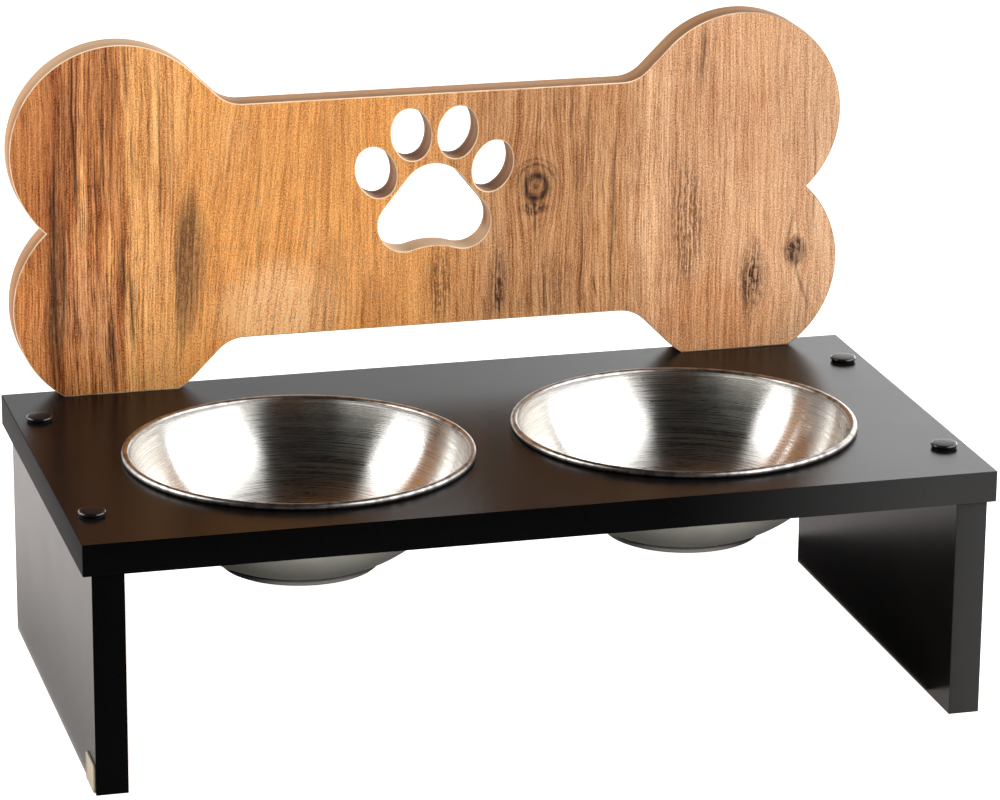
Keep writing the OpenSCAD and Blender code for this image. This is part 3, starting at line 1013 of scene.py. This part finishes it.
def toe_loop(sizes, at, lean):
    """Outline of a toe: two end arcs joined by two flatter side arcs."""
    end_c = sizes.toe_h / 2 - sizes.toe_end_r
    waist = sizes.toe_w / 2 - sizes.toe_end_r
    side_c = (end_c ** 2 - waist ** 2) / (2 * waist)
    side_r = sizes.toe_w / 2 + side_c
    turn = math.degrees(math.atan2(end_c, side_c))
    loop = arc((-side_c, 0.0), side_r, -turn, turn, 14)
    loop += arc((0.0, end_c), sizes.toe_end_r, turn, 180.0 - turn, 16)[1:]
    loop += arc((side_c, 0.0), side_r, 180.0 - turn, 180.0 + turn, 14)[1:]
    loop += arc((0.0, -end_c), sizes.toe_end_r, 180.0 + turn, 360.0 - turn, 16)[1:-1]
    c, s = math.cos(-lean), math.sin(-lean)
    return [(at[0] + u * c - v * s, at[1] + u * s + v * c) for u, v in loop]


def pad_loop(sizes):
    """Outline of the pad: a round top, two round lower corners, straight sides and a shallow dip below."""
    top = Vector((0.0, sizes.pad_top_z))
    corner = Vector((sizes.pad_corner_x, -sizes.pad_corner_drop))
    run = top - corner
    spread = math.acos((sizes.pad_corner_r - sizes.pad_top_r) / run.length)
    side = math.degrees(math.atan2(run.y, run.x) - spread)
    dip_k = sizes.pad_corner_r - sizes.pad_dip
    dip_r = (corner.x ** 2 + dip_k ** 2 - sizes.pad_corner_r ** 2) / (2 * sizes.pad_dip)
    dip = Vector((0.0, corner.y - dip_k - dip_r))
    dip_run = dip - corner
    foot = math.degrees(math.atan2(dip_run.y, dip_run.x))
    half = arc(corner, sizes.pad_corner_r, foot, side, 24)
    half += arc(top, sizes.pad_top_r, side, 90.0, 14)
    left = [(-u, v) for u, v in reversed(half)]
    opening = foot + 180.0
    return half[:-1] + left + arc(dip, dip_r, 180.0 - opening, opening, 12)[1:-1]


def bowl_profile(sizes, rim_r, height):
    """Section of a bowl from the axis inside, over the rim and back to the axis below.

    Returns the section and the numbers of its points up to the start and the end of the rim.
    """
    bead_r = sizes.bead_d / 2
    bead = (rim_r - bead_r, height - bead_r)
    wall_top = (bead[0] - bead_r + sizes.steel_t, bead[1])
    low = Vector((sizes.base_r, sizes.step_h))
    run = Vector(wall_top) - low
    lift = math.sqrt(sizes.wall_r ** 2 - run.length_squared / 4)
    centre = (low + Vector(wall_top)) / 2 + lift * Vector((-run.y, run.x)).normalized()
    start = math.degrees(math.atan2(low.y - centre.y, low.x - centre.x))
    end = math.degrees(math.atan2(wall_top[1] - centre.y, wall_top[0] - centre.x))
    t = sizes.steel_t
    foot_r = 1.1 * t
    groove_r = sizes.base_r - sizes.groove
    inner_base = sizes.base_r - t
    profile = [(0.0, t), (inner_base * 0.5, t), (inner_base - 2.2 * t, t)]
    profile += arc((inner_base - 2.2 * t, 2.6 * t), 1.6 * t, -90.0, -15.0, 6)[1:]
    profile += arc(centre, sizes.wall_r - t, start + 0.6, end, 44)
    rim_start = len(profile)
    profile += arc(bead, bead_r, 175.0, -58.0, 28)
    seat = height - sizes.bead_d + sizes.seat
    profile = [(r, max(z, seat)) if r > wall_top[0] + 0.2 * t else (r, z) for r, z in profile]
    rim_end = len(profile) - 1
    profile += arc(centre, sizes.wall_r, end - 1.4, start + 0.7, 44)
    profile += [(groove_r, sizes.step_h + 0.25 * t), (groove_r, sizes.step_h)]
    profile += [(sizes.base_r, sizes.step_h - 0.35 * t)]
    profile += arc((sizes.base_r - foot_r, foot_r), foot_r, 0.0, -90.0, 6)
    profile += [(sizes.base_r * 0.5, 0.0), (0.0, 0.0)]
    return profile, (rim_start, rim_end)


def cap_profile(sizes, radius, height, pin_depth):
    """Section of a screw cap from the middle of its top down to the end of its pin."""
    edge_r = sizes.edge_r
    edge = (radius - edge_r, height - sizes.dome - edge_r)
    fade = 0.3 * edge_r
    dome = ((0.0, 0.0), (0.5, 0.3), (0.85, 0.7))
    profile = [(edge[0] * out, height - drop * sizes.dome) for out, drop in dome]
    profile += arc(edge, edge_r, 88.0, -55.0, 14)
    profile += [(radius - sizes.undercut, 0.15 * edge[1]), (radius - sizes.undercut, 0.0)]
    profile += [(sizes.pin_r + fade, 0.0), (sizes.pin_r, -fade), (sizes.pin_r, fade - pin_depth)]
    return profile + [(sizes.pin_r - fade, -pin_depth), (0.0, -pin_depth)]


def hexagon(flats, points):
    """A hexagon with a width across its flats, with points spread evenly along its sides."""
    corners = [Vector(corner) for corner in circle((0.0, 0.0), flats / math.sqrt(3), 6)]
    per_side = points // 6
    sides = zip(corners, corners[1:] + corners[:1])
    return [tuple(start.lerp(end, k / per_side)) for start, end in sides for k in range(per_side)]


def cross(width, reach):
    """A cross with two slots of this width and this whole length."""
    w, r = width / 2, reach / 2
    arm = [(r, -w), (r, w), (w, w)]
    loop = []
    for _ in range(4):
        loop += arm
        arm = [(-v, u) for u, v in arm]
    return loop


def thread_rings(sizes, shank_r, start, end, around=24, per_turn=6):
    """Rings of a threaded shank with a point: the thread is a ridge that climbs once a pitch."""
    rows = int((end - start) / sizes.pitch * per_turn)
    point_start = end - sizes.point_l
    spin = circle((0.0, 0.0), 1.0, around)
    rings = []
    for row in range(rows + 1):
        depth = start + (end - start) * row / rows
        taper = 1.0 - 0.8 * max(0.0, depth - point_start) / sizes.point_l
        loop = []
        for i, (c, s) in enumerate(spin):
            phase = (depth / sizes.pitch - i / around) % 1.0
            ridge = max(0.0, 1.0 - abs(phase - 0.5) * 4.0) if 0 < row < rows else 0.0
            r = (shank_r - sizes.thread_h * (1.0 - ridge)) * taper
            loop.append((r * c, r * s))
        rings.append((loop, depth))
    return rings


def axis(node):
    """Where a node's upright axis stands."""
    low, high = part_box(node)
    return (low.x + high.x) / 2, (low.y + high.y) / 2


def half_width(node):
    """Half of a node's width, which is its radius where it is round."""
    low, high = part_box(node)
    return (high.x - low.x) / 2


def screw_hole(node, steps):
    """Rings of a stepped hole round a screw, each with its radius and depth."""
    return [(circle(axis(node), r, 32), depth) for r, depth in steps]


def threaded_screw(name, node, sizes, head_h, shank_r, drive, drive_depth, upwards):
    """A screw with a driven head and a thread, in the place of its CAD node."""
    low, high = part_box(node)
    worn = 0.25 * MM
    taper = 0.8
    head = worn_edges(circle((0.0, 0.0), half_width(node), 40), head_h, worn, 2)
    socket = [(drive, 0.0), ([(u * taper, v * taper) for u, v in drive], drive_depth)]
    shank = thread_rings(sizes, shank_r, head_h, high.z - low.z)
    covers = [[(0, 0), (1, 0)], [(1, -1)], [(0, -1), (2, 0)], [(2, -1)]]
    turn = 1.0 if upwards else -1.0
    bm, _, _ = shell([head, socket, shank], covers, lambda u, v, depth: (u, v, turn * depth))
    bm.normal_update()
    sharpen(bm, 35.0)
    piece = new_piece(name, bm, ["zinc_plate"], (*axis(node), low.z if upwards else high.z))
    settle(piece, STAND, "screw_zinc", node)


class FEEDER_OT_top_board(bpy.types.Operator):
    """Build the black board with its bowl holes and screw holes."""

    bl_idname = "feeder.top_board"
    bl_label = "Top Board"

    def execute(self, context):
        sizes = context.scene.feeder_panels
        screws = context.scene.feeder_screws
        low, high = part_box("top_board")
        thick = high.z - low.z
        gap = sizes.fit_gap
        outer = worn_edges(rounded_rectangle(low, high, sizes.corner_r), thick, sizes.edge_r)
        holes = []
        for side in SIDES:
            bowl = f"{side}_bowl"
            radius = half_width(bowl) - sizes.hole_lap
            wide = radius + sizes.edge_r
            steps = ((wide, 0.0), (radius, sizes.edge_r), (radius, thick - sizes.edge_r), (wide, thick))
            holes.append([(circle(axis(bowl), r, 160), depth) for r, depth in steps])
        for corner in CORNERS:
            head_r = half_width(f"leg_screw_{corner}") + gap
            steps = ((head_r, 0.0), (head_r, screws.leg_head_h))
            steps += ((screws.leg_shank_r + gap, screws.leg_head_h), (screws.leg_shank_r + gap, thick))
            holes.append(screw_hole(f"leg_screw_{corner}", steps))
        for place in BONE_SCREWS:
            head_r = half_width(f"bone_screw_{place}") + gap
            floor = thick - screws.bone_head_h
            steps = ((screws.bone_shank_r + gap, 0.0), (screws.bone_shank_r + gap, floor))
            steps += ((head_r, floor), (head_r, thick))
            holes.append(screw_hole(f"bone_screw_{place}", steps))
        piece = panel(
            "board_panel",
            outer,
            holes,
            lambda u, v, depth: (u, v, high.z - depth),
            ["black_face", "black_edge"],
        )
        settle(piece, STAND, "black_board", "top_board")
        return {"FINISHED"}


class FEEDER_OT_legs(bpy.types.Operator):
    """Build the two panel legs."""

    bl_idname = "feeder.legs"
    bl_label = "Legs"

    def execute(self, context):
        sizes = context.scene.feeder_panels
        for side in SIDES:
            low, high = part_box(f"{side}_leg")
            loop = rounded_rectangle(low.yz, high.yz, sizes.corner_r)
            outer = worn_edges(loop, high.x - low.x, sizes.edge_r)
            piece = panel(
                f"{side}_leg_panel",
                outer,
                [],
                lambda u, v, depth, start=low.x: (start + depth, u, v),
                ["leg_face", "black_edge"],
            )
            settle(piece, STAND, "black_board", f"{side}_leg")
        return {"FINISHED"}


class FEEDER_OT_bone_backboard(bpy.types.Operator):
    """Build the bone-shaped backboard with its paw cut-out."""

    bl_idname = "feeder.bone_backboard"
    bl_label = "Bone Backboard"

    def execute(self, context):
        sizes = context.scene.feeder_bone
        low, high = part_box("bone_backboard")
        thick = high.y - low.y
        middle_z = high.z - sizes.height / 2
        width, depth = sizes.chamfer, sizes.chamfer_depth
        outer = chamfered_edges(bone_loop(sizes, high.x, middle_z - low.z), thick, width, depth)
        loops = [pad_loop(sizes)]
        for x, z, lean in (
            (sizes.inner_toe_x, sizes.inner_toe_z, sizes.inner_toe_lean),
            (sizes.outer_toe_x, sizes.outer_toe_z, sizes.outer_toe_lean),
        ):
            loops += [toe_loop(sizes, (sign * x, z), sign * lean) for sign in (-1, 1)]
        holes = [chamfered_edges(loop, thick, -width, depth) for loop in loops]
        piece = panel(
            "bone_panel",
            outer,
            holes,
            lambda u, v, depth: (u, low.y + depth, middle_z + v),
            ["wood_decor", "bare_fibre", "pale_chamfer"],
            chamfer_rings=1,
        )
        settle(piece, STAND, "bone_decor", "bone_backboard")
        return {"FINISHED"}


class FEEDER_OT_bowls(bpy.types.Operator):
    """Build the two steel bowls."""

    bl_idname = "feeder.bowls"
    bl_label = "Bowls"

    def execute(self, context):
        sizes = context.scene.feeder_bowls
        for side in SIDES:
            bowl = f"{side}_bowl"
            low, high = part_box(bowl)
            profile, splits = bowl_profile(sizes, half_width(bowl), high.z - low.z)
            materials = ["spun_steel", "rim_steel", "satin_steel"]
            at = (*axis(bowl), low.z)
            piece = lathe(f"{side}_steel_bowl", profile, at, sizes.segments, materials, splits)
            settle(piece, bowl, "bowl_steel", bowl)
        return {"FINISHED"}


class FEEDER_OT_screw_caps(bpy.types.Operator):
    """Build the four screw caps."""

    bl_idname = "feeder.screw_caps"
    bl_label = "Screw Caps"

    def execute(self, context):
        sizes = context.scene.feeder_caps
        board_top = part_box("top_board")[1].z
        for corner in CORNERS:
            node = f"screw_cap_{corner}"
            low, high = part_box(node)
            profile = cap_profile(sizes, half_width(node), high.z - board_top, board_top - low.z)
            piece = lathe(f"cap_{corner}", profile, (*axis(node), board_top), 64, ["cap_gloss"])
            settle(piece, STAND, "cap_plastic", node)
        return {"FINISHED"}


class FEEDER_OT_leg_screws(bpy.types.Operator):
    """Build the four screws that hold the legs."""

    bl_idname = "feeder.leg_screws"
    bl_label = "Leg Screws"

    def execute(self, context):
        sizes = context.scene.feeder_screws
        drive = hexagon(sizes.leg_socket, 24)
        for corner in CORNERS:
            threaded_screw(
                f"leg_fixing_{corner}",
                f"leg_screw_{corner}",
                sizes,
                sizes.leg_head_h,
                sizes.leg_shank_r,
                drive,
                sizes.leg_socket_depth,
                False,
            )
        return {"FINISHED"}


class FEEDER_OT_bone_screws(bpy.types.Operator):
    """Build the four screws that hold the bone."""

    bl_idname = "feeder.bone_screws"
    bl_label = "Bone Screws"

    def execute(self, context):
        sizes = context.scene.feeder_screws
        drive = cross(sizes.cross_w, sizes.cross_l)
        for place in BONE_SCREWS:
            threaded_screw(
                f"bone_fixing_{place}",
                f"bone_screw_{place}",
                sizes,
                sizes.bone_head_h,
                sizes.bone_shank_r,
                drive,
                sizes.cross_depth,
                True,
            )
        return {"FINISHED"}


class FEEDER_OT_badge_plate(bpy.types.Operator):
    """Build the bare plate on the left leg."""

    bl_idname = "feeder.badge_plate"
    bl_label = "Badge Plate"

    def execute(self, context):
        sizes = context.scene.feeder_badge
        low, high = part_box("badge_plate")
        loop = rounded_rectangle(low.yz, high.yz, sizes.corner_r)
        outer = worn_edges(loop, high.x - low.x, sizes.edge_r)
        inner_r = 0.4 * sizes.corner_r
        field = []
        for reach, depth in ((sizes.border, 0.0), (sizes.border + sizes.sink, sizes.sink)):
            step = Vector((reach, reach))
            field.append((rounded_rectangle(low.yz + step, high.yz - step, inner_r), depth))
        covers = [[(0, 0), (1, 0)], [(1, -1)], [(0, -1)]]
        bm, _, _ = shell([outer, field], covers, lambda u, v, depth: (low.x + depth, u, v))
        bm.normal_update()
        sharpen(bm, 30.0)
        settle(new_piece("badge", bm, ["badge_tan"]), STAND, "badge", "badge_plate")
        return {"FINISHED"}


class FEEDER_OT_stage(bpy.types.Operator):
    """Build the floor, the soft lights, the room and the camera."""

    bl_idname = "feeder.stage"
    bl_label = "Stage"

    floor_half = 20.0
    # Each softbox: name, where it stands, what it faces, and its width and height
    softboxes = (
        ("right", (1.28, -0.655, 1.05), (0.0, 0.0, 0.15), (2.3, 1.5)),
        ("left", (-1.53, 0.47, 0.97), (0.0, 0.0, 0.15), (1.5, 1.1)),
    )
    # Dark sheet on the floor under and behind the stand, painted shade for the floor's shadow there: its
    # two corners and its height
    floor_shadow_place = ((-0.236, -0.10), (0.236, 0.175), 0.0004)
    # Thin shade on the floor beside the left leg, likewise. The camera sees neither
    shade_place = ((-0.32, -0.14), (-0.256, 0.45), 0.0006)

    def execute(self, context):
        sizes = context.scene.feeder_stage
        half = self.floor_half
        self.lay_sheet("floor", (-half, -half), (half, half), 0.0, "pale_floor")
        # Painted shade: the dark sheet under the stand
        card = self.lay_sheet("card", *self.floor_shadow_place, "dark_card")
        card.visible_camera = False
        shade = self.lay_sheet("shade", *self.shade_place, "soft_shade")
        shade.visible_camera = False
        powers = {"right": sizes.right_light, "left": sizes.left_light}
        for name, at, target, size in self.softboxes:
            softbox = self.hang_softbox(name, Vector(at), Vector(target), size)
            softbox.data.energy = powers[name]
        self.light_room(sizes)
        self.stand_camera(sizes)
        context.scene.view_settings.view_transform = "Standard"
        return {"FINISHED"}

    @staticmethod
    def lay_sheet(name, low, high, z, material):
        """A flat sheet of the stage."""
        mesh = bpy.data.meshes.new(name)
        corners = [(low[0], low[1], z), (high[0], low[1], z), (high[0], high[1], z), (low[0], high[1], z)]
        mesh.from_pydata(corners, [], [(0, 1, 2, 3)])
        mesh.materials.append(finish(material))
        sheet = bpy.data.objects.new(name, mesh)
        bpy.context.scene.collection.objects.link(sheet)
        return sheet

    @staticmethod
    def hang_softbox(name, at, target, size):
        """A rectangular soft light that faces a place. It shows in reflections but not to the camera."""
        light = bpy.data.lights.new(f"{name}_softbox", "AREA")
        light.shape = "RECTANGLE"
        light.size, light.size_y = size
        softbox = bpy.data.objects.new(f"{name}_softbox", light)
        softbox.location = at
        softbox.rotation_euler = (target - at).to_track_quat("-Z", "Y").to_euler()
        softbox.visible_camera = False
        bpy.context.scene.collection.objects.link(softbox)
        return softbox

    @staticmethod
    def light_room(sizes):
        """A room that is bright behind the stand, low down, and dim elsewhere."""
        world = bpy.data.worlds.new("room")
        nodes = Nodes(world)
        way = nodes.add("ShaderNodeTexCoord", output="Generated")
        x = nodes.add("ShaderNodeSeparateXYZ", inputs={0: way})
        behind = nodes.rise(x.other(1), 0.0, 0.75)
        low = nodes.rise(x.other(2), 0.75, 0.25)
        flare = nodes.rise(x, 0.22, 0.36) * sizes.flare
        level = sizes.room + behind * low * (sizes.backdrop + flare)
        shade = nodes.add("ShaderNodeBackground", inputs={"Color": (1.0, 1.0, 1.0, 1.0), "Strength": level})
        nodes.add("ShaderNodeOutputWorld", inputs={"Surface": shade})
        bpy.context.scene.world = world

    @staticmethod
    def stand_camera(sizes):
        """The camera, which looks back, to the right and down."""
        data = bpy.data.cameras.new("camera")
        data.sensor_width = 36.0
        data.lens = sizes.lens
        camera = bpy.data.objects.new("camera", data)
        turn = Matrix.Rotation(-sizes.yaw, 4, "Z") @ Matrix.Rotation(math.pi / 2 - sizes.pitch, 4, "X")
        lean = Matrix.Rotation(sizes.roll, 4, "Z")
        camera.matrix_world = Matrix.Translation(sizes.camera_at) @ turn @ lean
        bpy.context.scene.collection.objects.link(camera)
        bpy.context.scene.camera = camera


GROUPS = (
    ("feeder_panels", PanelSizes),
    ("feeder_bone", BoneSizes),
    ("feeder_bowls", BowlSizes),
    ("feeder_caps", CapSizes),
    ("feeder_screws", ScrewSizes),
    ("feeder_badge", BadgeSizes),
    ("feeder_finishes", Finishes),
    ("feeder_stage", StageSizes),
)
OPERATORS = (
    FEEDER_OT_stage,
    FEEDER_OT_top_board,
    FEEDER_OT_legs,
    FEEDER_OT_bone_backboard,
    FEEDER_OT_bowls,
    FEEDER_OT_screw_caps,
    FEEDER_OT_leg_screws,
    FEEDER_OT_bone_screws,
    FEEDER_OT_badge_plate,
)


class FEEDER_PT_sidebar(bpy.types.Panel):
    """The feeder stand's operators and sizes in the sidebar."""

    bl_idname = "FEEDER_PT_sidebar"
    bl_label = "Feeder Stand"
    bl_space_type = "VIEW_3D"
    bl_region_type = "UI"
    bl_category = "Feeder Stand"

    def draw(self, context):
        for operator in OPERATORS:
            self.layout.operator(operator.bl_idname)
        for attribute, group in GROUPS:
            box = self.layout.box()
            for name in group.__annotations__:
                box.prop(getattr(context.scene, attribute), name)


def register():
    for attribute, group in GROUPS:
        bpy.utils.register_class(group)
        setattr(bpy.types.Scene, attribute, PointerProperty(type=group))
    for operator in OPERATORS:
        bpy.utils.register_class(operator)
    bpy.utils.register_class(FEEDER_PT_sidebar)


def unregister():
    bpy.utils.unregister_class(FEEDER_PT_sidebar)
    for operator in reversed(OPERATORS):
        bpy.utils.unregister_class(operator)
    for attribute, group in reversed(GROUPS):
        delattr(bpy.types.Scene, attribute)
        bpy.utils.unregister_class(group)


def main():
    register()
    bpy.ops.feeder.stage()
    bpy.ops.feeder.top_board()
    bpy.ops.feeder.legs()
    bpy.ops.feeder.bone_backboard()
    bpy.ops.feeder.bowls()
    bpy.ops.feeder.screw_caps()
    bpy.ops.feeder.leg_screws()
    bpy.ops.feeder.bone_screws()
    bpy.ops.feeder.badge_plate()


if __name__ == "__main__":
    main()
